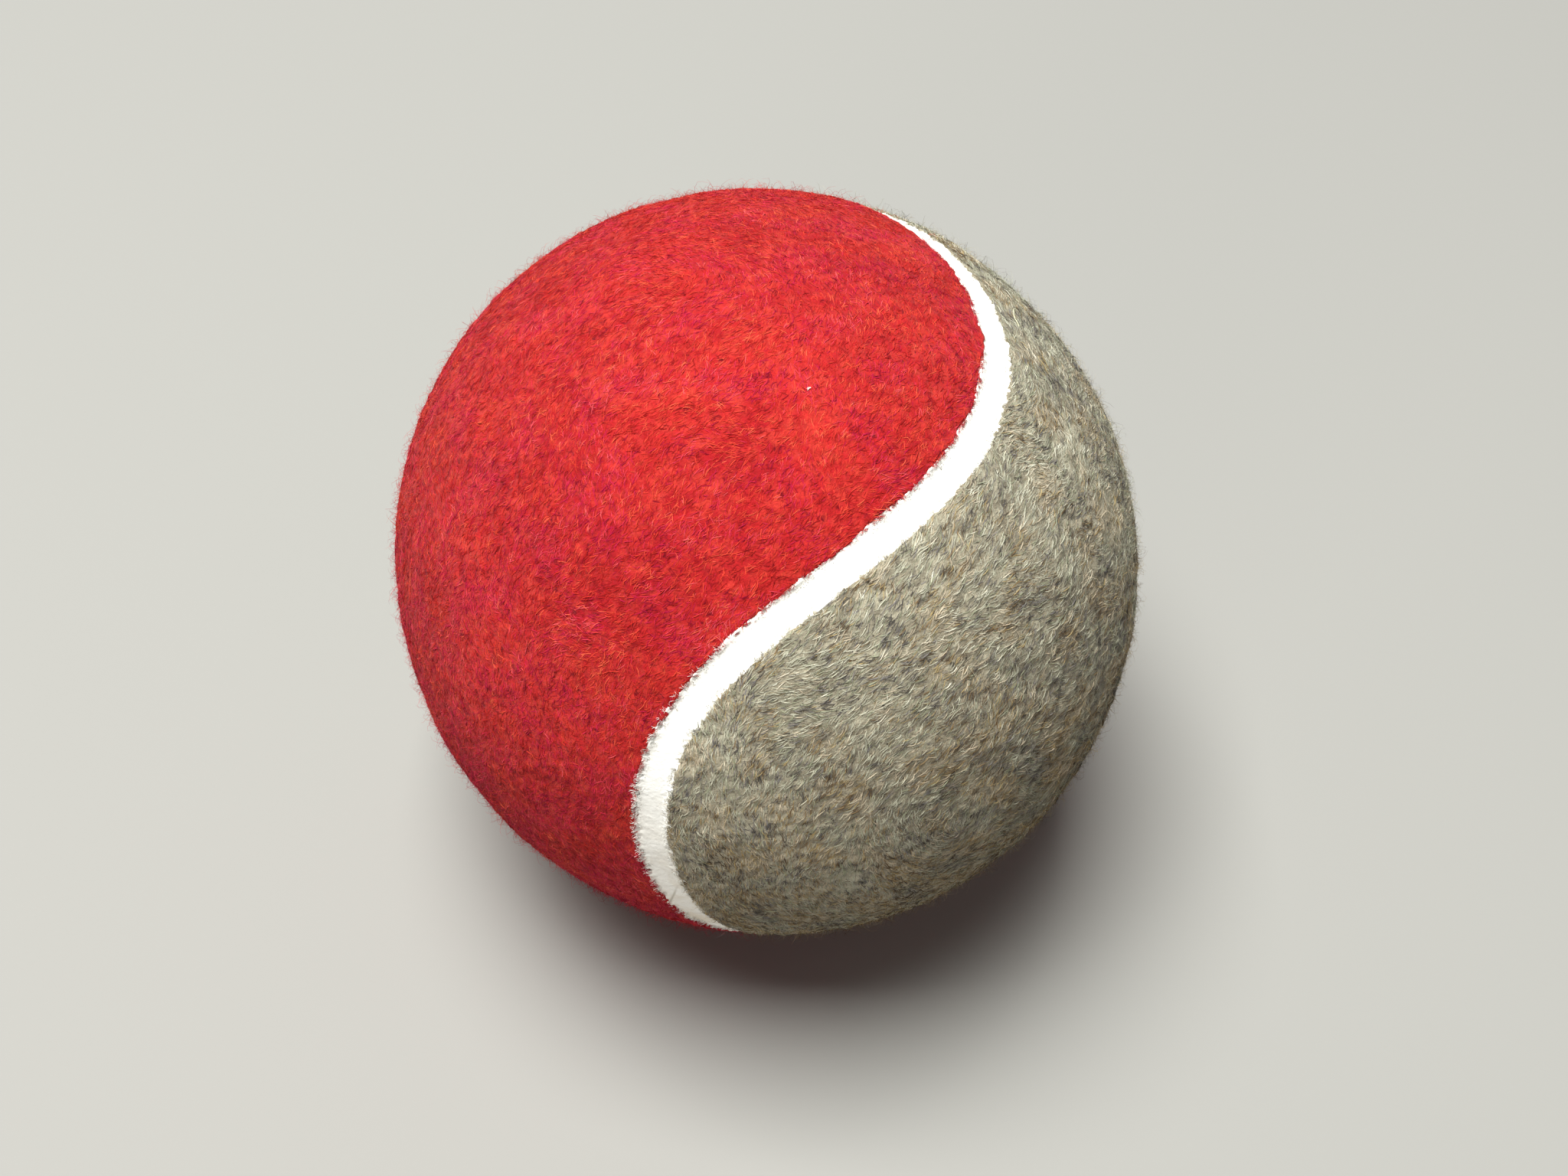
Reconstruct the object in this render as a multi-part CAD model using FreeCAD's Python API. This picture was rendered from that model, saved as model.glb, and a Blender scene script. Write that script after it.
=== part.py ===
import FreeCAD, Part

import math
import os

from BOPTools import SplitAPI

# A large play ball of tennis-ball construction, resting on a table. Two moulded rubber half-shells are
# cemented into a hollow core. Two identical felt panels are wrapped round it, one red and one grey, and
# white seam cement fills the bottom of the groove between their cut edges.
#
# Units are millimetres. The origin is the middle of the flat that the ball's nap makes where it rests on
# the table, and +Z is up. The ball's own seam axes are turned from that frame by REST_TURN.

# Driving dimensions.
BALL_DIAMETER = 118.0
FELT_THICKNESS = 3.2
SEAM_WIDTH = 4.6
SEAM_RECESS = 1.2
COAT_THICKNESS = 0.2
CORE_WALL = 3.3
JOINT_GAP = 0.3
JOINT_BEAD_RADIUS = 0.8
REST_FLAT_DEPTH = 0.8

# The seam's shape. It runs four times between the two ends of the ball's seam axis, and SEAM_HEIGHT sets
# how far towards them it goes. SEAM_LOBE and SEAM_FULLNESS round out each turn.
SEAM_LOBE = 0.244
SEAM_FULLNESS = -0.068
SEAM_HEIGHT = 1.0
SEAM_POINTS = 24

# How the ball lies: yaw, pitch and roll of its seam axes, in degrees.
REST_TURN = (-40.3, 33.9, 110.2)

# Radii that follow.
FELT_OUTER = BALL_DIAMETER / 2
FELT_INNER = FELT_OUTER - FELT_THICKNESS
CEMENT_OUTER = FELT_OUTER - SEAM_RECESS
CORE_OUTER = FELT_INNER - COAT_THICKNESS
CORE_INNER = CORE_OUTER - CORE_WALL
CENTRE_HEIGHT = FELT_OUTER - REST_FLAT_DEPTH
EDGE_ANGLE = SEAM_WIDTH / 2 / FELT_OUTER
FENCE_MARGIN = 1.0

REST = FreeCAD.Placement(FreeCAD.Vector(0, 0, CENTRE_HEIGHT), FreeCAD.Rotation(*REST_TURN))


def seam_direction(turn):
    """The unit vector from the ball's centre to the middle of the seam, for turn from 0 to 2 pi."""
    x = math.cos(turn) + SEAM_LOBE * math.cos(3 * turn) + SEAM_FULLNESS * math.cos(5 * turn)
    y = math.sin(turn) - SEAM_LOBE * math.sin(3 * turn) + SEAM_FULLNESS * math.sin(5 * turn)
    z = SEAM_HEIGHT * math.sin(2 * turn)
    return FreeCAD.Vector(x, y, z).normalize()


def edge_direction(turn, side):
    """The same for a panel's cut edge: side 1 is the red panel's and side -1 the grey one's."""
    step = 1e-4
    middle = seam_direction(turn)
    along = (seam_direction(turn + step) - seam_direction(turn - step)).normalize()
    across = middle.cross(along)
    return middle * math.cos(EDGE_ANGLE) + across * (side * math.sin(EDGE_ANGLE))


def edge_curve(side, radius):
    """A closed smooth curve along a panel's cut edge, at one radius."""
    turns = [2 * math.pi * i / SEAM_POINTS for i in range(SEAM_POINTS)]
    curve = Part.BSplineCurve()
    curve.interpolate([edge_direction(turn, side) * radius for turn in turns], PeriodicFlag=True)
    return curve.toShape()


def fence(side):
    """The radial surface that a panel's cut edge lies in."""
    low = edge_curve(side, FELT_INNER - FENCE_MARGIN)
    high = edge_curve(side, FELT_OUTER + FENCE_MARGIN)
    return Part.makeRuledSurface(low, high)


def ball(radius):
    return Part.makeSphere(radius)


def shell(outer, inner):
    return ball(outer).cut(ball(inner))


def split_by_seam(outer):
    """The cover layer out to a radius, cut along both edges of the seam: red side, grey side, seam."""
    pieces = SplitAPI.slice(shell(outer, FELT_INNER), [fence(1), fence(-1)], "Split").Solids
    seam = min(pieces, key=lambda piece: piece.Volume)
    panels = [piece for piece in pieces if not piece.isSame(seam)]
    red = max(panels, key=lambda piece: piece.CenterOfMass.z)
    grey = min(panels, key=lambda piece: piece.CenterOfMass.z)
    return red, grey, seam


def felt_panels():
    """Both panels as they lie, with the nap pressed flat where the ball rests."""
    red, grey, _ = split_by_seam(FELT_OUTER)
    side = 2 * BALL_DIAMETER
    table = Part.makeBox(side, side, side, FreeCAD.Vector(-side / 2, -side / 2, -side))
    return at_rest(red).cut(table), at_rest(grey).cut(table)


def seam_cement():
    """The white strip in the bottom of the groove between the panels."""
    _, _, seam = split_by_seam(CEMENT_OUTER)
    return at_rest(seam)


def cover_adhesive():
    """The coat of rubber solution that holds the panels to the core."""
    return at_rest(shell(FELT_INNER, CORE_OUTER))


def core_shell(end):
    """One moulded half of the core: end 1 or -1 along the ball's seam axis."""
    size = 2 * BALL_DIAMETER
    low = JOINT_GAP / 2 if end > 0 else -JOINT_GAP / 2 - size
    half_space = Part.makeBox(size, size, size, FreeCAD.Vector(-size / 2, -size / 2, low))
    return at_rest(shell(CORE_OUTER, CORE_INNER).common(half_space))


def core_joint_cement():
    """The cement line between the halves, with the bead that it squeezes out inside the core."""
    corner = FreeCAD.Vector(-BALL_DIAMETER, -BALL_DIAMETER, -JOINT_GAP / 2)
    slab = Part.makeBox(2 * BALL_DIAMETER, 2 * BALL_DIAMETER, JOINT_GAP, corner)
    line = shell(CORE_OUTER, CORE_INNER).common(slab)
    bead = Part.makeTorus(CORE_INNER, JOINT_BEAD_RADIUS).common(ball(CORE_INNER))
    return at_rest(line.fuse(bead).removeSplitter())


def at_rest(shape):
    """A shape turned from the ball's own seam axes to how it lies on the table."""
    placed = shape.copy()
    placed.Placement = REST.multiply(placed.Placement)
    return placed


def save(name, shape):
    solid = shape.Solids[0]
    if len(shape.Solids) != 1 or not solid.isValid():
        raise ValueError(f"{name} isn't one valid solid")
    solid.exportStep(f"parts/{name}.step")
    print(f"{name}: {solid.Volume:.0f} mm3")


os.makedirs("parts", exist_ok=True)
red_panel, grey_panel = felt_panels()
save("red_felt_panel", red_panel)
save("grey_felt_panel", grey_panel)
save("seam_cement", seam_cement())
save("cover_adhesive", cover_adhesive())
save("core_shell_a", core_shell(1))
save("core_shell_b", core_shell(-1))
save("core_joint_cement", core_joint_cement())
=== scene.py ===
import math

import bpy
import numpy as np
from mathutils import Matrix, Vector


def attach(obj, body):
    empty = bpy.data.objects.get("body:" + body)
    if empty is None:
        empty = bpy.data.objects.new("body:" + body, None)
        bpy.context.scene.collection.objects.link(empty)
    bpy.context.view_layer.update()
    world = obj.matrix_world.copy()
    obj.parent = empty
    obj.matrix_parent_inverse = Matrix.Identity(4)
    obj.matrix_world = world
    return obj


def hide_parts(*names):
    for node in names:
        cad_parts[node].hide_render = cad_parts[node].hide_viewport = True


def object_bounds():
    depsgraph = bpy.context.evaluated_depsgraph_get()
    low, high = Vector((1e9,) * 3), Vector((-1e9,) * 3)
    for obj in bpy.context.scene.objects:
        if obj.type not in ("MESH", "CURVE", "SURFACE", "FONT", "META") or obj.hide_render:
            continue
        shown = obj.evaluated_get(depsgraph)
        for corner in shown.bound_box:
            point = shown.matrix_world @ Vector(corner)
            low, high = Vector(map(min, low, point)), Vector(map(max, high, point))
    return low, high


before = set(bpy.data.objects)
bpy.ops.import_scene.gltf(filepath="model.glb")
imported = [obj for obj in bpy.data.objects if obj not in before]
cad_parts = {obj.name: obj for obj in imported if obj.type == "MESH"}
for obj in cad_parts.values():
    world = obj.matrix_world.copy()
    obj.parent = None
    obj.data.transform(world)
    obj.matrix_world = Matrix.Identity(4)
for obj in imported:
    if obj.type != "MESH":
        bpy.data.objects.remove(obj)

CAD_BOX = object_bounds()

# Sizes of the ball, in millimetres, as the frame has them. The seam curve is the frame's own formula.
MM = 0.001
BALL_RADIUS = 59.0
FELT_THICKNESS = 3.2
SEAM_WIDTH = 4.6
SEAM_LOBE = 0.244
SEAM_FULLNESS = -0.068
SEAM_HEIGHT = 1.0
REST_TURN = (-40.3, 33.9, 110.2)
CENTRE = np.array([0.0, 0.0, CAD_BOX[1][2] / MM - BALL_RADIUS])

# The felt's own surface lies a little inside the nap that stands on it, and its cut edge is rolled down.
FELT_RADIUS = BALL_RADIUS - 0.3
FELT_INNER = BALL_RADIUS - FELT_THICKNESS
LIP_RADIUS = 0.45

# A panel's mesh: points round its cut edge, rings by their mm from there, and then rings to its spine. The
# spine is the line down the panel's middle, and it reaches SPINE_REACH round the ball each way.
AROUND = 1080
LIP_STEPS = (0.0, 0.05, 0.13, 0.25, 0.42, 0.7, 1.1, 1.6)
INWARD = 72
WALL_STEPS = 4
BACK_RINGS = 5
SPINE_REACH = math.radians(97)

# The seam cement's cross-section: mm from the seam's middle, and mm below the felt's surface there.
SEAM_AROUND = 2400
SEAM_HALF_PROFILE = (
    (0.0, 0.50), (0.5, 0.50), (1.0, 0.48), (1.4, 0.44), (1.7, 0.38), (1.9, 0.32), (2.08, 0.26),
    (2.2, 0.21), (2.3, 0.17), (2.4, 0.15), (2.5, 0.20), (2.7, 0.45), (2.95, 0.75),
)
SEAM_PROFILE = [(-across, depth) for across, depth in SEAM_HALF_PROFILE[:0:-1]] + list(SEAM_HALF_PROFILE)

# Fibres in each mesh. A DENSITY below 1 makes fewer.
DENSITY = 1.0
NAP_COUNT = int(32000 * DENSITY)
FUZZ_COUNT = int(10500 * DENSITY)
FRINGE_COUNT = int(10500 * DENSITY)
SPIKE_COUNTS = {"red_side": int(5200 * DENSITY), "grey_side": int(900 * DENSITY)}


# Directions and turns.

def turned(yaw, pitch, roll):
    """The rotation matrix that turns first by roll about X, then pitch about Y, then yaw about Z."""
    turn = Matrix.Rotation(math.radians(yaw), 3, "Z") @ Matrix.Rotation(math.radians(pitch), 3, "Y")
    return np.array(turn @ Matrix.Rotation(math.radians(roll), 3, "X"))


RED_TURN = turned(*REST_TURN)
GREY_TURN = RED_TURN @ np.diag([1.0, -1.0, -1.0])


def unit(vectors):
    return vectors / np.linalg.norm(vectors, axis=-1, keepdims=True)


def seam_direction(turn):
    """Unit vectors from the ball's centre to the middle of the seam, in the ball's seam axes."""
    x = np.cos(turn) + SEAM_LOBE * np.cos(3 * turn) + SEAM_FULLNESS * np.cos(5 * turn)
    y = np.sin(turn) - SEAM_LOBE * np.sin(3 * turn) + SEAM_FULLNESS * np.sin(5 * turn)
    z = SEAM_HEIGHT * np.sin(2 * turn)
    return unit(np.stack([x, y, z], axis=-1))


def seam_across(turn):
    """Unit vectors across the seam there, pointing to the red panel."""
    step = 1e-4
    along = unit(seam_direction(turn + step) - seam_direction(turn - step))
    return np.cross(seam_direction(turn), along)


def seam_offset(turn, distance):
    """Unit vectors a distance in mm to the red side of the seam's middle."""
    angle = np.asarray(distance)[..., None] / BALL_RADIUS
    return seam_direction(turn) * np.cos(angle) + seam_across(turn) * np.sin(angle)


def between(start, end, share):
    """Unit vectors that share of the way from start to end, along great circles."""
    angle = np.arccos(np.clip((start * end).sum(-1), -1, 1))[..., None]
    share = np.asarray(share)[..., None]
    return (np.sin((1 - share) * angle) * start + np.sin(share * angle) * end) / np.sin(angle)


# Smooth random fields.

class Waves:
    """A sum of waves in random directions. The same seed gives the same field."""

    def __init__(self, seed, wavelength, count=28):
        rng = np.random.default_rng(seed)
        lengths = wavelength * rng.uniform(0.75, 1.5, count)
        self.waves = unit(rng.normal(size=(count, 3))) * (2 * math.pi / lengths)[:, None]
        self.starts = rng.uniform(0, 2 * math.pi, count)
        self.scale = math.sqrt(2 / count)

    def __call__(self, points):
        return np.cos(points @ self.waves.T + self.starts).sum(-1) * self.scale


BULGES = Waves(11, 75)
LUMPS = Waves(12, 17)
DIMPLES = Waves(13, 5)
TUFTS = Waves(14, 2.2)
GRAIN = Waves(21, 1.5, 40)
EDGE_SWAY = Waves(15, 9)
EDGE_NICKS = Waves(16, 1.6)
COAT_RAGS = Waves(17, 1.3)
COAT_NICKS = Waves(22, 0.7)
COAT_PITS = Waves(23, 1.1, 40)
COAT_WAVES = Waves(18, 5)
CEMENT_RIPPLES = Waves(19, 2.6)
CEMENT_SWELLS = Waves(20, 12)

# How the real ball differs from the frame.

# The cement has torn into the cut nap most on this side of the ball, where the groove turns under.
RAGGED_SIDE = unit(np.array([-0.29, -0.93, 0.20]))
RAGGED_SPREAD = 0.11


def raggedness(directions):
    """How ragged the cement's edge is, from nearly 0 to 1, for directions in the row frame."""
    return 0.02 + 0.98 * np.exp(-(1 - directions @ RAGGED_SIDE) / RAGGED_SPREAD)


# Where each panel's cut edge really stands: mm back from the frame's edge, how much more at the turn on the
# right, and how much more on the ragged side. Side 1 is the red panel's, and side -1 the grey one's.
RIGHT_TURN = unit(np.array([0.50, -0.10, 0.86]))
RIGHT_SPREAD = 0.06
EDGE_GAPS = {1: (-0.25, 0.7, 0.6), -1: (-0.05, -0.1, 0.0)}


def edge_gap(directions, side):
    """How far back a cut edge stands, in mm, for directions in the row frame."""
    base, at_turn, torn = EDGE_GAPS[side]
    turn = np.exp(-(1 - directions @ RIGHT_TURN) / RIGHT_SPREAD)
    return base + at_turn * turn + torn * raggedness(directions)


# The real ball is a little out of round: long one way, short across that, and flatter on its left side.
LONG_AXIS = unit(np.array([-0.62, 0.45, 0.35]))
SHORT_AXIS = unit(np.array([0.62, 0.62, 0.40]))
OUT_OF_ROUND = 0.6
FLAT_SIDE = unit(np.array([-0.99, -0.08, -0.10]))
FLAT_DEPTH = 0.9
FLAT_SPREAD = 0.13


def swell(directions):
    """How far the whole ball stands above its mean radius, in mm, for directions in the row frame."""
    at = directions * BALL_RADIUS
    oval = (directions @ LONG_AXIS) ** 2 - (directions @ SHORT_AXIS) ** 2
    flat = FLAT_DEPTH * np.exp(-(1 - directions @ FLAT_SIDE) / FLAT_SPREAD)
    return OUT_OF_ROUND * oval - flat + 0.12 * BULGES(at) + 0.07 * LUMPS(at)


def felt_height(directions, relief):
    """The same for a felt panel's surface, whose nap is lumpy to the degree that relief says."""
    at = directions * BALL_RADIUS
    return swell(directions) + relief * (0.06 * DIMPLES(at) + 0.07 * TUFTS(at) + 0.08 * GRAIN(at))


# Heights in mm over which the wool takes painted shade and a painted tint of the light: none above the
# first, full below the second.
LIGHT_PAINT_NONE_ABOVE = 95
LIGHT_PAINT_FULL_BELOW = 45


def lowness(directions):
    """From 0 on the ball's upper part to 1 near the table."""
    height = CENTRE[2] + BALL_RADIUS * directions[..., 2]
    return np.clip((LIGHT_PAINT_NONE_ABOVE - height) / (LIGHT_PAINT_NONE_ABOVE - LIGHT_PAINT_FULL_BELOW), 0, 1)


def placed(directions, radii):
    """Points in mm in the row frame. The ball is pressed flat where it rests."""
    points = CENTRE + directions * np.asarray(radii)[..., None]
    points[..., 2] = np.maximum(points[..., 2], 0.0)
    return points


# Meshes.

def new_mesh(name, points, faces, materials, slots=None, smooth=True):
    """A mesh object from points in mm. None of it goes below the table."""
    points[:, 2] = np.maximum(points[:, 2], 0)
    mesh = bpy.data.meshes.new(name)
    mesh.from_pydata((points * MM).tolist(), [], faces)
    for material in materials:
        mesh.materials.append(material)
    if slots is not None:
        mesh.polygons.foreach_set("material_index", slots)
    mesh.polygons.foreach_set("use_smooth", [smooth] * len(mesh.polygons))
    mesh.update()
    made = bpy.data.objects.new(name, mesh)
    bpy.context.scene.collection.objects.link(made)
    return made


def grid_faces(rows, columns):
    """Quads between rows of points that close round on themselves."""
    first = np.arange(columns)
    second = (first + 1) % columns
    quads = [
        np.stack([row * columns + first, row * columns + second,
                  (row + 1) * columns + second, (row + 1) * columns + first], axis=1)
        for row in range(rows - 1)
    ]
    return np.concatenate(quads)


def welded(points, faces, same):
    """The mesh with each point replaced by the one that same gives for it, and flattened faces left out."""
    used, index = np.unique(same, return_inverse=True)
    kept = []
    for face in index.reshape(-1)[faces].tolist():
        loop = [p for i, p in enumerate(face) if p != face[i - 1]]
        if len(loop) > 2:
            kept.append(loop)
    return points[used], kept


def lip_drop(inset):
    """How far the felt is rolled down, in mm, at a distance in from its cut edge."""
    inside = np.clip(1 - inset / LIP_RADIUS, 0, 1)
    return LIP_RADIUS * (1 - np.sqrt(np.maximum(1 - inside**2, 0)))


class Panel:
    """One felt panel: rings of points from its cut edge in to the line down its middle."""

    def __init__(self, turn, relief, side):
        self.relief = relief
        around = (np.arange(AROUND) + 0.5) * 2 * math.pi / AROUND - math.pi / 4
        edge = seam_offset(around, SEAM_WIDTH / 2 + edge_gap(seam_direction(around) @ turn.T, side))
        bow = SPINE_REACH * np.sin(math.pi / 2 * np.cos(around + math.pi / 4))
        middle = np.stack([np.sin(bow) / math.sqrt(2), -np.sin(bow) / math.sqrt(2), np.cos(bow)], axis=-1)
        reach = np.arccos(np.clip((edge * middle).sum(-1), -1, 1)) * BALL_RADIUS
        rings = [np.full(AROUND, step) / reach for step in LIP_STEPS]
        last = rings[-1]
        rings += [last + (1 - last) * step / INWARD for step in range(1, INWARD + 1)]
        shares = np.array(rings)
        self.directions = between(edge[None], middle[None], shares) @ turn.T
        self.inset = shares * reach[None]

    def radii(self):
        """The outer surface, rolled down at the cut edge."""
        return FELT_RADIUS + felt_height(self.directions, self.relief) - lip_drop(self.inset)

    def edge_shift(self):
        """How far the cut edge wanders sideways, in mm, by ring."""
        at = self.directions[0] * BALL_RADIUS
        wander = 0.16 * EDGE_SWAY(at) + 0.07 * EDGE_NICKS(at)
        return wander[None] * np.exp(-self.inset / 2.5)

    def surface(self):
        """Points of the outer surface, ring by ring from the cut edge."""
        inward = unit(self.directions[len(LIP_STEPS)] - self.directions[0])
        directions = unit(self.directions + inward[None] * (self.edge_shift() / BALL_RADIUS)[..., None])
        return placed(directions, self.radii()), directions

    def solid(self, name, material):
        """The closed panel: outer surface, cut edge and the back that is glued down."""
        outer, directions = self.surface()
        wall_top = self.radii()[0]
        wall = [
            placed(directions[0], wall_top + (FELT_INNER - wall_top) * step / WALL_STEPS)
            for step in range(1, WALL_STEPS + 1)
        ]
        steps = np.linspace(0, len(self.directions) - 1, BACK_RINGS + 1).round().astype(int)[1:]
        back = [placed(self.directions[i], np.full(AROUND, FELT_INNER)) for i in steps]
        rows = list(outer[::-1]) + wall + back
        points = np.concatenate(rows)
        same = np.arange(len(points)).reshape(len(rows), AROUND)
        for row in (0, -1):
            same[row] = np.minimum(same[row], same[row, ::-1])
        points, faces = welded(points, grid_faces(len(rows), AROUND)[:, ::-1], same.ravel())
        return new_mesh(name, points, faces, [material])

    def roots(self, count, rng, margin=0.0):
        """Random points spread evenly over the panel: directions, the way along the seam, insets."""
        steps = len(self.directions) - 1
        corner = self.directions
        beside = np.roll(corner, -1, axis=1)
        size = np.linalg.norm(np.cross(beside[:-1] - corner[:-1], corner[1:] - corner[:-1]), axis=-1)
        size = np.where(self.inset[:-1] >= margin, size, 0)
        pick = rng.choice(size.size, count, p=(size / size.sum()).ravel())
        ring, place = np.divmod(pick, AROUND)
        ring = np.minimum(ring, steps - 1)
        across, up = rng.random((2, count, 1))
        low = corner[ring, place] * (1 - across) + beside[ring, place] * across
        high = corner[ring + 1, place] * (1 - across) + beside[ring + 1, place] * across
        directions = unit(low * (1 - up) + high * up)
        along = beside[ring, place] - corner[ring, place]
        inset = self.inset[ring, place] * (1 - up[:, 0]) + self.inset[ring + 1, place] * up[:, 0]
        return directions, along, inset


RED = Panel(RED_TURN, 0.6, 1)
GREY = Panel(GREY_TURN, 0.8, -1)


# Nap: fibres of real geometry, each a narrow ribbon or a three-sided thread.

def tangent(directions, vectors):
    """The vectors' unit parts along the ball's surface."""
    return unit(vectors - directions * (vectors * directions).sum(-1, keepdims=True))


def spun(directions, vectors, angles):
    """Tangent vectors turned about the directions."""
    side = np.cross(directions, vectors)
    return vectors * np.cos(angles)[:, None] + side * np.sin(angles)[:, None]


def paths(directions, heading, length, bend, height, share, relief):
    """Points along fibres, in mm from the ball's centre. height is over the felt, by point."""
    side = np.cross(directions, heading)
    points = []
    for i, s in enumerate(share):
        run = length * s
        turn = bend * s
        move = heading * (run * np.cos(turn / 2))[:, None] + side * (run * np.sin(turn / 2))[:, None]
        points.append(unit(directions + move / BALL_RADIUS))
    points = np.stack(points, axis=1)
    flat = points.reshape(-1, 3)
    radii = FELT_RADIUS + felt_height(flat, relief).reshape(points.shape[:2]) + height
    return placed(points, radii)


def ribbons(points, width, twist):
    """Flat fibres: each row of points gets two edges, narrow at both ends."""
    count, steps, _ = points.shape
    along = unit(np.gradient(points, axis=1))
    out = unit(points - CENTRE)
    side = unit(np.cross(along, out))
    turn = twist[:, None, None]
    side = side * np.cos(turn) + np.cross(along, side) * np.sin(turn)
    taper = np.sin(np.linspace(0.22, math.pi - 0.22, steps)) ** 0.6
    half = side * (width[:, None] * taper[None] / 2)[..., None]
    edges = np.stack([points - half, points + half], axis=2)
    base = (np.arange(count) * steps * 2)[:, None] + (np.arange(steps - 1) * 2)[None]
    faces = np.stack([base, base + 1, base + 3, base + 2], axis=-1).reshape(-1, 4)
    return edges.reshape(-1, 3), faces, steps - 1


def threads(points, width):
    """Round fibres with three sides that end in a point."""
    count, steps, _ = points.shape
    along = unit(np.gradient(points, axis=1))
    out = unit(points - CENTRE)
    side = unit(np.cross(along, out + 0.01))
    other = np.cross(along, side)
    taper = np.linspace(1.0, 0.25, steps)
    radius = (width[:, None] * taper[None] / 2)[..., None]
    corners = [
        points + radius * (side * math.cos(a) + other * math.sin(a))
        for a in (0.0, 2 * math.pi / 3, 4 * math.pi / 3)
    ]
    edges = np.stack(corners, axis=2)
    base = (np.arange(count) * steps * 3)[:, None] + (np.arange(steps - 1) * 3)[None]
    sides = [
        np.stack([base + k, base + (k + 1) % 3, base + 3 + (k + 1) % 3, base + 3 + k], axis=-1)
        for k in range(3)
    ]
    faces = np.stack(sides, axis=2).reshape(-1, 4)
    return edges.reshape(-1, 3), faces, (steps - 1) * 3


class Wool:
    """One panel's fibre colours, and how they clump and swirl over the panel.

    The colours run from dark to light, each in a warm cast and then a cool one. One argument paints the
    wool darker low down, as painted shade; the last paints its upper part cooler, a painted tint of the
    light.
    """

    def __init__(self, seed, panel, tones, weights, clump, mingle, painted_shade, painted_light_tint):
        self.panel = panel
        self.painted_shade = painted_shade
        self.painted_light_tint = painted_light_tint
        self.tones = tones
        self.weights = np.array(weights) / np.sum(weights)
        self.clumps = Waves(seed, clump, 40)
        self.patches = Waves(seed + 1, 6 * clump)
        self.cast = Waves(seed + 4, 8)
        self.swirl = Waves(seed + 2, 16)
        self.curl = Waves(seed + 3, 4)
        self.mingle = mingle

    def pick(self, directions, rng, lightest=1.0):
        """A colour number for each fibre. Neighbours share a colour more often than not."""
        at = directions * BALL_RADIUS
        low = lowness(directions)
        mixed = 0.8 * self.clumps(at) + 0.35 * self.patches(at) + self.mingle * rng.normal(size=len(at))
        # Low down the order drops towards darker tones: painted shade.
        order = mixed.argsort().argsort() / len(at) * lightest * (1 - self.painted_shade * low)
        level = np.searchsorted(np.cumsum(self.weights), order)
        # Apart from the random casts, height moves tones between the warm and cool casts: a painted tint of
        # the light.
        cool = 0.7 * self.cast(at) + 0.8 * rng.normal(size=len(at)) + self.painted_light_tint * (1 - 2 * low) > 0
        return 2 * level + cool

    def lie(self, directions, along, angles):
        """Which way fibres lie, turned by angles from the way of the nap."""
        at = directions * BALL_RADIUS
        nap = 0.34 * self.swirl(at) + 0.15 * self.curl(at)
        return spun(directions, tangent(directions, along), nap + angles)


def matted(wool, name, count, seed, length, width, spread, height):
    """Fibres that lie on the felt, mostly along the seam, with both ends sunk in."""
    rng = np.random.default_rng(seed)
    directions, along, inset = wool.panel.roots(count, rng, margin=0.1)
    angles = rng.normal(0, spread, count) + math.pi * rng.integers(0, 2, count)
    heading = wool.lie(directions, along, angles)
    reach = rng.uniform(*length, count)
    share = np.linspace(-0.5, 0.5, 4)
    tone = wool.pick(directions, rng)
    # Darker tones sit lower in the nap: painted shade in its hollows.
    rise = rng.uniform(*height, count) * (0.7 + 0.4 * tone / len(wool.tones))
    arch = np.cos(share * math.pi) ** 0.7
    over = rise[:, None] * arch[None] - 0.05 - lip_drop(inset)[:, None] * 0.8
    points = paths(directions, heading, reach, rng.normal(0, 0.5, count), over, share, wool.panel.relief)
    shape, faces, per = ribbons(points, rng.uniform(*width, count), rng.normal(0, 0.35, count))
    return new_mesh(name, shape, faces.tolist(), wool.tones, np.repeat(tone, per))


def stray(wool, name, count, seed, length, width, lift):
    """Loose fibres that stand off the felt and curl."""
    rng = np.random.default_rng(seed)
    directions, along, inset = wool.panel.roots(count, rng)
    heading = wool.lie(directions, along, rng.uniform(0, 2 * math.pi, count))
    reach = rng.uniform(*length, count) * rng.uniform(0.4, 1, count)
    share = np.linspace(0, 1, 4)
    rise = rng.uniform(*lift, count) ** 1.5
    peak = rng.uniform(0.5, 1.3, count)
    over = (rise * reach)[:, None] * np.sin(np.minimum(share[None] / peak[:, None], 1.6) * math.pi / 2)
    over = over - 0.06 - lip_drop(inset)[:, None] * 0.9
    points = paths(directions, heading, reach, rng.normal(0, 1.5, count), over, share, wool.panel.relief)
    shape, faces, per = threads(points, rng.uniform(*width, count))
    tone = wool.pick(directions, rng, 0.8)
    return new_mesh(name, shape, faces.tolist(), wool.tones, np.repeat(tone, per))


def edge_spots(count, rng, gaps, share):
    """Up to count random places along the seam.

    They leave gaps where the gaps field is low, and share gives the part of the rest that stays.
    """
    turn = rng.uniform(0, 2 * math.pi, 3 * count)
    local = seam_direction(turn)
    kept = (gaps(local * BALL_RADIUS) > -0.35) & (rng.random(3 * count) < share(local @ RED_TURN.T))
    return turn[kept][:count]


def everywhere(directions):
    return np.ones(len(directions))


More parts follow.
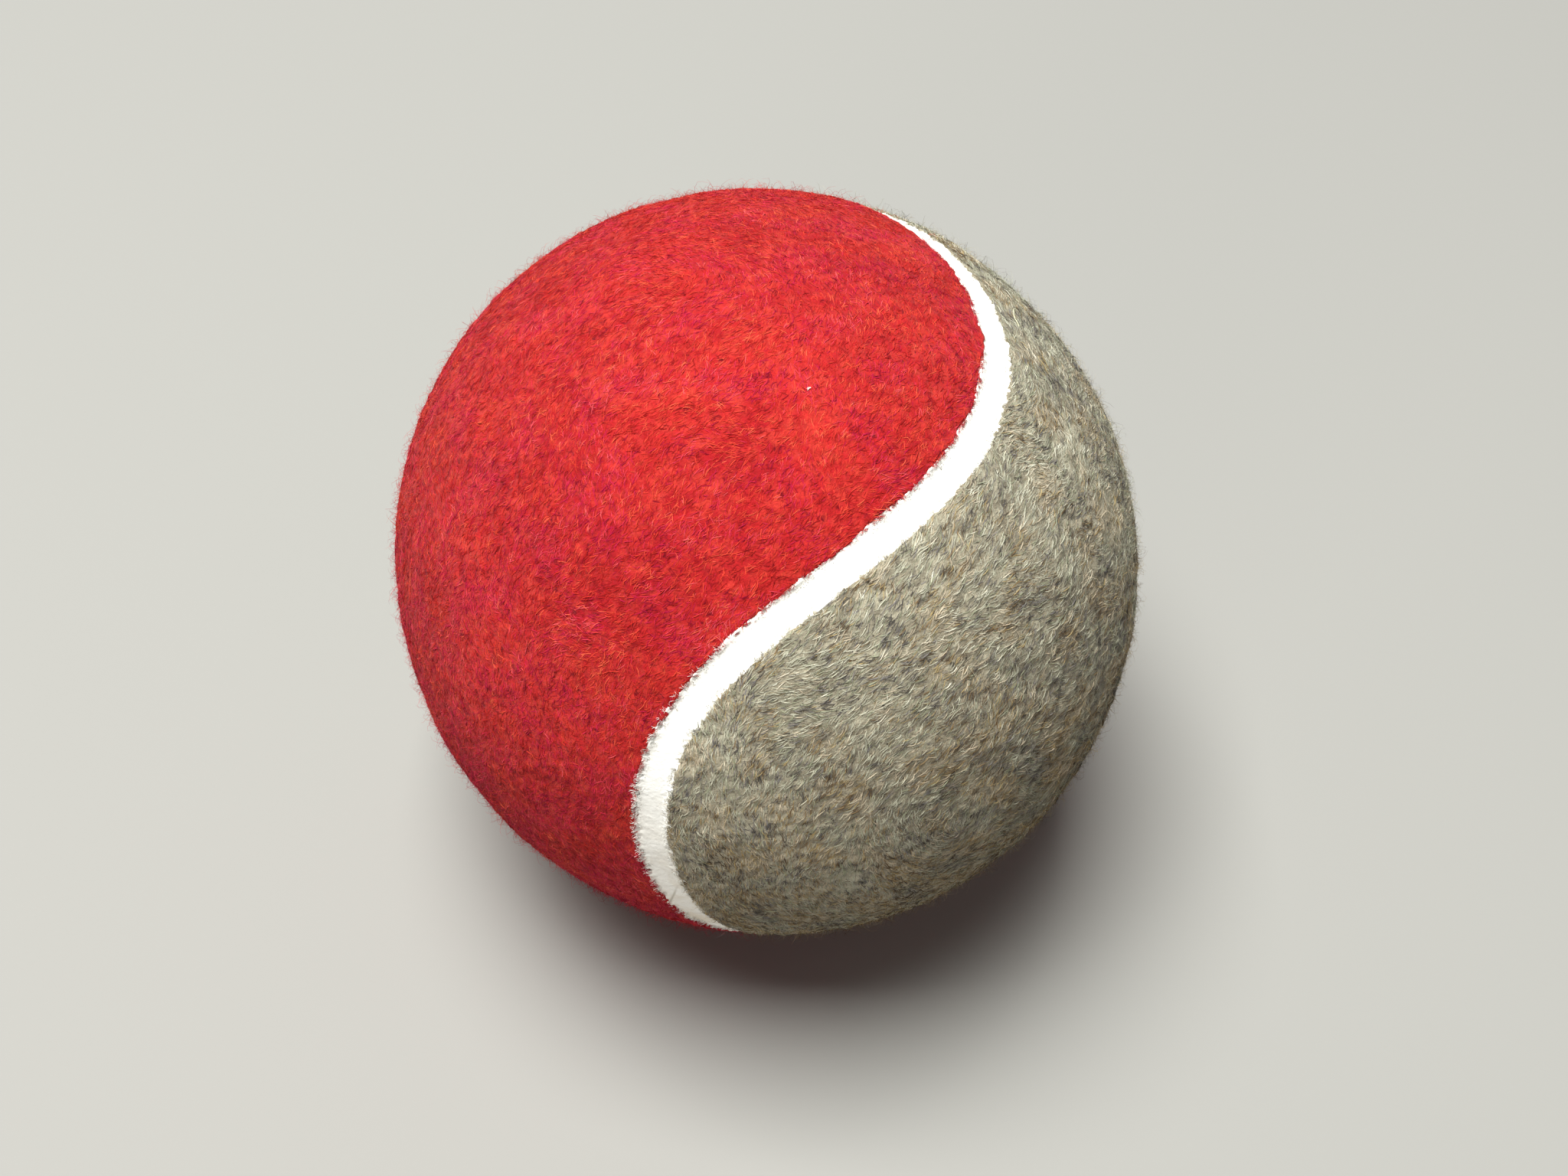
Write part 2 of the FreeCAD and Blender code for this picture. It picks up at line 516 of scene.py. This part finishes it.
def fringe(name, side, count, seed, materials, weights, length, width, start, dive, back,
           spread=0.75, clump=1.3, share=everywhere):
    """Short fibres across one cut edge. They reach over the groove, but the part called back point away."""
    rng = np.random.default_rng(seed)
    turn = edge_spots(count, rng, Waves(seed, clump), share)
    count = len(turn)
    offset = SEAM_WIDTH / 2 + rng.uniform(*start, count)
    gap = edge_gap(seam_direction(turn) @ RED_TURN.T, side)
    local = seam_offset(turn, side * (offset + gap))
    inward = -side * seam_across(turn) * np.where(rng.random(count) < back, -1, 1)[:, None]
    directions = local @ RED_TURN.T
    heading = tangent(directions, inward @ RED_TURN.T)
    heading = spun(directions, heading, rng.normal(0, spread, count))
    reach = rng.uniform(*length, count)
    steps = np.linspace(0, 1, 4)
    inset = offset - SEAM_WIDTH / 2
    cement = np.interp(offset, *zip(*SEAM_HALF_PROFILE))
    top = np.where(inset < 0, -cement, -lip_drop(np.maximum(inset, 0)) * 0.75) - 0.05
    fall = rng.uniform(*dive, count)
    over = top[:, None] + 0.12 * np.sin(steps * math.pi)[None] - fall[:, None] * steps[None] ** 1.5
    points = paths(directions, heading, reach, rng.normal(0, 1.0, count), over, steps, 0.5)
    shape, faces, per = threads(points, rng.uniform(*width, count))
    tone = rng.choice(len(weights), count, p=np.array(weights) / np.sum(weights))
    return new_mesh(name, shape, faces.tolist(), materials, np.repeat(tone, per))


def loose_hair(name, place, heading):
    """One long hair that lies on the grey felt in a bow."""
    directions = unit(np.array([place]))
    heading = tangent(directions, np.array([heading]))
    share = np.linspace(-0.5, 0.5, 12)
    over = 0.35 + 0.5 * np.cos(share * math.pi)[None]
    points = paths(directions, heading, np.array([6.0]), np.array([-2.6]), over, share, 0.5)
    shape, faces, _ = threads(points, np.array([0.15]))
    return new_mesh(name, shape, faces.tolist(), [HAIR])


def lint(name, place):
    """A speck of white fibres, tangled small."""
    rng = np.random.default_rng(91)
    count = 14
    directions = unit(np.array(place) + rng.normal(0, 0.0012, (count, 3)))
    heading = tangent(directions, rng.normal(size=(count, 3)))
    share = np.linspace(-0.5, 0.5, 5)
    over = 0.2 + 0.15 * np.cos(share * math.pi)[None] * rng.random((count, 1))
    reach = rng.uniform(0.2, 0.6, count)
    points = paths(directions, heading, reach, rng.normal(0, 2, count), over, share, 0.5)
    shape, faces, _ = threads(points, np.full(count, 0.07))
    return new_mesh(name, shape, faces.tolist(), [CEMENT_TONES[0]])


# The white seam cement.

def seam_strip(name, material):
    """The cement: a shallow trough that has crept a ragged way up both cut edges."""
    turn = np.arange(SEAM_AROUND) * 2 * math.pi / SEAM_AROUND
    middle = seam_direction(turn) @ RED_TURN.T
    rows = []
    for across, depth in SEAM_PROFILE:
        side = 1 if across > 0 else -1
        gap = edge_gap(middle, side) * min(2 * abs(across) / SEAM_WIDTH, 1)
        directions = seam_offset(turn, across + side * gap) @ RED_TURN.T
        at = directions * BALL_RADIUS
        wall = np.clip((abs(across) - 1.6) / 0.4, 0, 1)
        ragged = wall * (0.06 * COAT_RAGS(at) + 0.05 * COAT_WAVES(at) + 0.05 * COAT_NICKS(at))
        ragged -= wall * (0.2 + 1.0 * raggedness(directions)) * np.clip(COAT_PITS(at) - 0.8, 0, 0.8)
        floor = (1 - wall) * (0.012 * CEMENT_RIPPLES(at) + 0.04 * CEMENT_SWELLS(at))
        rows.append(placed(directions, FELT_RADIUS + swell(directions) - depth + ragged + floor))
    for across in (SEAM_WIDTH / 2, 0.0, -SEAM_WIDTH / 2):
        directions = seam_offset(turn, np.full(SEAM_AROUND, across)) @ RED_TURN.T
        rows.append(placed(directions, np.full(SEAM_AROUND, FELT_INNER)))
    rows.append(rows[0])
    points = np.concatenate(rows)
    same = np.arange(len(points))
    same[-SEAM_AROUND:] = same[:SEAM_AROUND]
    points, faces = welded(points, grid_faces(len(rows), SEAM_AROUND), same)
    return new_mesh(name, points, faces, [material])


# Materials.

BLACK = (0.0, 0.0, 0.0)
WHITE = (1.0, 1.0, 1.0)


class Nodes:
    """A material's node tree, with short calls for what the materials below repeat."""

    def __init__(self, name, roughness, specular=0.3, sheen=0.0, sheen_roughness=0.5):
        self.material = bpy.data.materials.new(name)
        self.material.use_nodes = True
        self.tree = self.material.node_tree
        self.shader = self.tree.nodes["Principled BSDF"]
        self.shader.inputs["Roughness"].default_value = roughness
        self.shader.inputs["Specular IOR Level"].default_value = specular
        self.shader.inputs["Sheen Weight"].default_value = sheen
        self.shader.inputs["Sheen Roughness"].default_value = sheen_roughness
        self.place = self.tree.nodes.new("ShaderNodeTexCoord").outputs["Object"]

    def link(self, start, end):
        self.tree.links.new(start, end)

    def noise(self, scale, detail=4.0, roughness=0.55, distortion=0.0):
        node = self.tree.nodes.new("ShaderNodeTexNoise")
        node.inputs["Scale"].default_value = scale
        node.inputs["Detail"].default_value = detail
        node.inputs["Roughness"].default_value = roughness
        node.inputs["Distortion"].default_value = distortion
        self.link(self.place, node.inputs["Vector"])
        return node.outputs["Fac"]

    def cells(self, scale, feature="F1"):
        node = self.tree.nodes.new("ShaderNodeTexVoronoi")
        node.feature = feature
        node.inputs["Scale"].default_value = scale
        self.link(self.place, node.inputs["Vector"])
        return node.outputs["Distance"]

    def ramp(self, value, *stops):
        node = self.tree.nodes.new("ShaderNodeValToRGB")
        band = node.color_ramp
        while len(band.elements) < len(stops):
            band.elements.new(0.5)
        for element, (position, colour) in zip(band.elements, stops):
            element.position = position
            element.color = (*colour, 1)
        self.link(value, node.inputs["Fac"])
        return node.outputs["Color"]

    def mix(self, share, first, second, kind="MIX"):
        node = self.tree.nodes.new("ShaderNodeMix")
        node.data_type = "RGBA"
        node.blend_type = kind
        for socket, value in ((node.inputs[0], share), (node.inputs[6], first), (node.inputs[7], second)):
            if isinstance(value, bpy.types.NodeSocket):
                self.link(value, socket)
            elif isinstance(value, tuple):
                socket.default_value = (*value, 1)
            else:
                socket.default_value = value
        return node.outputs[2]

    def low_down(self, low, high):
        """White below the low height, in metres, fading to black at the high one."""
        node = self.tree.nodes.new("ShaderNodeSeparateXYZ")
        self.link(self.place, node.inputs[0])
        return self.ramp(node.outputs["Z"], (low, WHITE), (high, BLACK))

    def colour(self, value):
        self.link(value, self.shader.inputs["Base Color"])

    def bump(self, height, distance, strength=1.0):
        node = self.tree.nodes.new("ShaderNodeBump")
        node.inputs["Distance"].default_value = distance
        node.inputs["Strength"].default_value = strength
        self.link(height, node.inputs["Height"])
        previous = self.shader.inputs["Normal"]
        if previous.is_linked:
            self.link(previous.links[0].from_socket, node.inputs["Normal"])
        self.link(node.outputs["Normal"], previous)


def felt_material(name, deep, main, light, pit_shade, roughness=0.95):
    """Matted wool: cloudy patches, fine mottling, and painted shade in small pits between the fibres."""
    nodes = Nodes(name, roughness, specular=0.1, sheen=0.08, sheen_roughness=0.6)
    patches = nodes.ramp(nodes.noise(45, 3), (0.35, deep), (0.62, main))
    mottle = nodes.noise(420, 5, 0.65)
    colour = nodes.mix(nodes.ramp(mottle, (0.45, BLACK), (0.7, WHITE)), patches, light)
    # Dark colour in small pits between the fibres: painted shade.
    shaded_pits = nodes.ramp(nodes.noise(900, 3, 0.6, 0.8), (0.30, WHITE), (0.42, BLACK))
    nodes.colour(nodes.mix(shaded_pits, colour, pit_shade))
    nodes.bump(nodes.noise(700, 6, 0.7, 0.5), 0.0005)
    nodes.bump(nodes.noise(1800, 3, 0.6), 0.0002)
    return nodes.material


def fibre_material(name, colour):
    """One tone of wool fibre."""
    nodes = Nodes(name, 0.8, specular=0.22, sheen=0.03)
    nodes.shader.inputs["Base Color"].default_value = (*colour, 1)
    return nodes.material


def wool_tones(prefix, **colours):
    """The tones of one wool, by name."""
    return [fibre_material(f"{prefix}_fibre_{name}", colour) for name, colour in colours.items()]


def cement_material():
    """White rubber cement: satin, with faint wrinkles. Low on the ball it is creamier, with fine cracks."""
    nodes = Nodes("seam_cement_white", 0.5, specular=0.4)
    low = nodes.low_down(0.046, 0.072)
    clean = nodes.ramp(nodes.noise(160, 5, 0.6), (0.35, (0.93, 0.915, 0.88)), (0.6, (0.96, 0.955, 0.935)))
    cloud = nodes.noise(230, 5, 0.65, 0.6)
    grimy = nodes.ramp(cloud, (0.42, (0.84, 0.78, 0.68)), (0.58, (0.96, 0.945, 0.90)))
    crack = nodes.ramp(nodes.cells(90, "DISTANCE_TO_EDGE"), (0.0, WHITE), (0.02, BLACK))
    broken = nodes.mix(nodes.ramp(nodes.noise(70, 2), (0.50, BLACK), (0.60, WHITE)), BLACK, crack)
    nodes.colour(nodes.mix(low, clean, nodes.mix(broken, grimy, (0.50, 0.45, 0.37))))
    nodes.bump(nodes.noise(500, 5, 0.6, 0.6), 0.00018)
    nodes.bump(nodes.noise(1500, 3, 0.6), 0.0001)
    return nodes.material


def rubber_material(name, dark, light, roughness):
    """Moulded or brushed rubber inside the ball: mottled, with a fine grain."""
    nodes = Nodes(name, roughness, specular=0.35)
    nodes.colour(nodes.ramp(nodes.noise(90, 5, 0.6), (0.35, dark), (0.7, light)))
    nodes.bump(nodes.noise(900, 4, 0.6), 0.0001)
    return nodes.material


RED_FELT = felt_material("red_felt", (0.368, 0.013, 0.022), (0.488, 0.025, 0.027), (0.561, 0.054, 0.041),
                         (0.212, 0.007, 0.016))
RED_TONES = wool_tones(
    "red",
    dark=(0.276, 0.010, 0.012), wine=(0.258, 0.006, 0.029),
    deep=(0.432, 0.018, 0.018), magenta=(0.432, 0.013, 0.067),
    main=(0.524, 0.036, 0.027), crimson=(0.524, 0.027, 0.069),
    warm=(0.607, 0.065, 0.039), rose=(0.598, 0.053, 0.086),
    orange=(0.681, 0.118, 0.065), pink=(0.662, 0.098, 0.118),
)
GREY_FELT = felt_material("grey_felt", (0.264, 0.231, 0.176), (0.378, 0.343, 0.268), (0.510, 0.471, 0.370),
                          (0.114, 0.099, 0.079))
GREY_TONES = wool_tones(
    "grey",
    umber=(0.150, 0.102, 0.060), dark=(0.110, 0.100, 0.094),
    brown=(0.304, 0.214, 0.118), slate=(0.238, 0.222, 0.222),
    ochre=(0.432, 0.333, 0.174), moss=(0.350, 0.362, 0.262),
    beige=(0.508, 0.428, 0.326), main=(0.440, 0.431, 0.352),
    sand=(0.612, 0.530, 0.410), stone=(0.563, 0.554, 0.449),
    cream=(0.704, 0.642, 0.528), light=(0.686, 0.673, 0.572),
)
CEMENT = cement_material()
# The cement fibres' third tone is dark: painted shade in the gaps between the white tufts.
CEMENT_TONES = wool_tones(
    "cement",
    white=(0.95, 0.945, 0.925), cream=(0.78, 0.74, 0.67), grime=(0.26, 0.23, 0.19),
)
HAIR = fibre_material("hair_pale", (0.90, 0.88, 0.66))


# The pieces.

red_panel = RED.solid("red_panel", RED_FELT)
grey_panel = GREY.solid("grey_panel", GREY_FELT)
cement = seam_strip("seam_strip", CEMENT)

pieces = {"red_felt": [], "grey_felt": [], "seam_rubber": []}

# The grey wool is painted darker low down, as painted shade. Both wools shift warm or cool with height, a
# painted tint of the light.
RED_WOOL = Wool(100, RED, RED_TONES, weights=(0.10, 0.25, 0.32, 0.26, 0.07), clump=1.7, mingle=0.65,
                painted_shade=0.0, painted_light_tint=-0.5)
GREY_WOOL = Wool(110, GREY, GREY_TONES, weights=(0.12, 0.16, 0.17, 0.27, 0.19, 0.09), clump=1.7, mingle=0.6,
                 painted_shade=0.4, painted_light_tint=0.6)
for i, part in enumerate("abcd"):
    pieces["red_felt"].append(matted(
        RED_WOOL, "red_nap_" + part, NAP_COUNT, seed=31 + i,
        length=(0.8, 2.0), width=(0.055, 0.10), spread=0.5, height=(0.05, 0.24)))
    pieces["grey_felt"].append(matted(
        GREY_WOOL, "grey_nap_" + part, NAP_COUNT, seed=41 + i,
        length=(0.9, 2.4), width=(0.055, 0.11), spread=0.3, height=(0.06, 0.30)))
for i, part in enumerate("abc"):
    pieces["red_felt"].append(stray(
        RED_WOOL, "red_fuzz_" + part, FUZZ_COUNT, seed=51 + i,
        length=(0.8, 2.6), width=(0.03, 0.05), lift=(0.25, 0.95)))
    pieces["grey_felt"].append(stray(
        GREY_WOOL, "grey_fuzz_" + part, FUZZ_COUNT, seed=61 + i,
        length=(0.8, 2.8), width=(0.03, 0.05), lift=(0.25, 0.95)))
pieces["red_felt"].append(fringe(
    "red_edge_fringe", 1, FRINGE_COUNT, 71, RED_TONES, (1, 1, 2, 2, 3, 2, 2, 1, 1, 0),
    length=(0.2, 0.75), width=(0.03, 0.06), start=(-0.05, 0.45), dive=(0.0, 0.3), back=0.1))
pieces["grey_felt"].append(fringe(
    "grey_edge_fringe", -1, FRINGE_COUNT, 72, GREY_TONES, (1, 1, 2, 2, 2, 2, 3, 3, 2, 2, 1, 1),
    length=(0.2, 0.75), width=(0.03, 0.06), start=(-0.05, 0.45), dive=(0.0, 0.3), back=0.1))
# The cement fringes and spikes use that dark third tone as painted shade between the tufts.
for side, seed, part in ((1, 81, "red_side"), (-1, 83, "grey_side")):
    pieces["seam_rubber"].append(fringe(
        "cement_fringe_" + part, side, FRINGE_COUNT, seed, CEMENT_TONES, (0.84, 0.12, 0.04),
        length=(0.15, 0.45), width=(0.05, 0.09), start=(-0.95, 0.05), dive=(-0.25, 0.25), back=0.5))
    pieces["seam_rubber"].append(fringe(
        "cement_spikes_" + part, side, SPIKE_COUNTS[part], seed + 1, CEMENT_TONES, (0.86, 0.11, 0.03),
        length=(0.45, 1.0), width=(0.07, 0.14), start=(-0.5, 0.0), dive=(-0.50, -0.16), back=1.0,
        spread=0.5, clump=0.6, share=raggedness))

# Two things lie on the felt: a pale hair on the grey panel and a speck of white lint on the red one.
pieces["grey_felt"].append(loose_hair("grey_loose_hair", (0.583, 0.158, 0.797), (0.216, 0.915, -0.34)))
pieces["red_felt"].append(lint("red_lint", (0.070, -0.271, 0.960)))

for slot_name, made in pieces.items():
    for piece in made:
        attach(piece, "root")

for piece, node, slot_name in (
    (red_panel, "red_felt_panel", "red_felt"),
    (grey_panel, "grey_felt_panel", "grey_felt"),
    (cement, "seam_cement", "seam_rubber"),
):
    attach(piece, "root")
    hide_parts(node)

# What is inside keeps its CAD shape and gets a real finish.
CORE_RUBBER = rubber_material("core_rubber_black", (0.020, 0.019, 0.018), (0.055, 0.052, 0.048), 0.75)
ADHESIVE = rubber_material("rubber_solution", (0.42, 0.31, 0.14), (0.62, 0.50, 0.28), 0.4)
for node, material in (
    ("core_shell_a", CORE_RUBBER), ("core_shell_b", CORE_RUBBER),
    ("core_joint_cement", ADHESIVE), ("cover_adhesive", ADHESIVE),
):
    for material_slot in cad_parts[node].material_slots:
        material_slot.material = material


# Stage, light and camera. Places are in metres and angles in degrees. FLOOR_HALF is in mm.

FLOOR_HALF = 8000.0
FLOOR_COLOUR = (0.345, 0.34, 0.334)
WORLD_COLOUR = (1.0, 0.98, 0.95)
WORLD_STRENGTH = 0.12
AIM = (0, 0, 0.06)


def floor():
    nodes = Nodes("floor_pale", 0.8, specular=0.2)
    nodes.shader.inputs["Base Color"].default_value = (*FLOOR_COLOUR, 1)
    ends = ((-1, -1, 0), (1, -1, 0), (1, 1, 0), (-1, 1, 0))
    made = new_mesh("floor", FLOOR_HALF * np.array(ends), [(0, 1, 2, 3)], [nodes.material], smooth=False)


def soft_light(name, place, size, power, colour):
    """A square area light that points at the ball. place is in metres."""
    data = bpy.data.lights.new(name, "AREA")
    data.shape = "SQUARE"
    data.size = size
    data.energy = power
    data.color = colour
    lamp = bpy.data.objects.new(name, data)
    lamp.location = place
    lamp.rotation_euler = (Vector(AIM) - Vector(place)).to_track_quat("-Z", "Y").to_euler()
    bpy.context.scene.collection.objects.link(lamp)


def studio():
    world = bpy.data.worlds.new("studio")
    world.use_nodes = True
    background = world.node_tree.nodes["Background"]
    background.inputs["Color"].default_value = (*WORLD_COLOUR, 1)
    background.inputs["Strength"].default_value = WORLD_STRENGTH
    bpy.context.scene.world = world
    soft_light("key", (-0.36, 0.03, 2.0), size=1.1, power=68.0, colour=(0.99, 1.0, 0.945))
    soft_light("fill", (-0.42, -0.82, 0.40), size=0.4, power=1.3, colour=(1.0, 0.92, 0.84))


CAMERA_PLACE = (-0.00604, -0.16784, 0.27104)
CAMERA_YAW = 3.16
CAMERA_DOWN = 52.59
CAMERA_ROLL = 3.08
CAMERA_LENS = 38.45


def camera():
    data = bpy.data.cameras.new("camera")
    data.lens = CAMERA_LENS
    data.sensor_width = 36.0
    data.clip_start = 0.01
    data.clip_end = 20.0
    made = bpy.data.objects.new("camera", data)
    heading = Matrix.Rotation(math.radians(-CAMERA_YAW), 3, "Z")
    tilt = Matrix.Rotation(math.radians(90 - CAMERA_DOWN), 3, "X")
    roll = Matrix.Rotation(math.radians(CAMERA_ROLL), 3, "Z")
    made.rotation_euler = (heading @ tilt @ roll).to_euler()
    made.location = CAMERA_PLACE
    bpy.context.scene.collection.objects.link(made)
    bpy.context.scene.camera = made


floor()
studio()
camera()
bpy.context.scene.view_settings.view_transform = "Standard"
bpy.context.scene.view_settings.look = "Medium High Contrast"
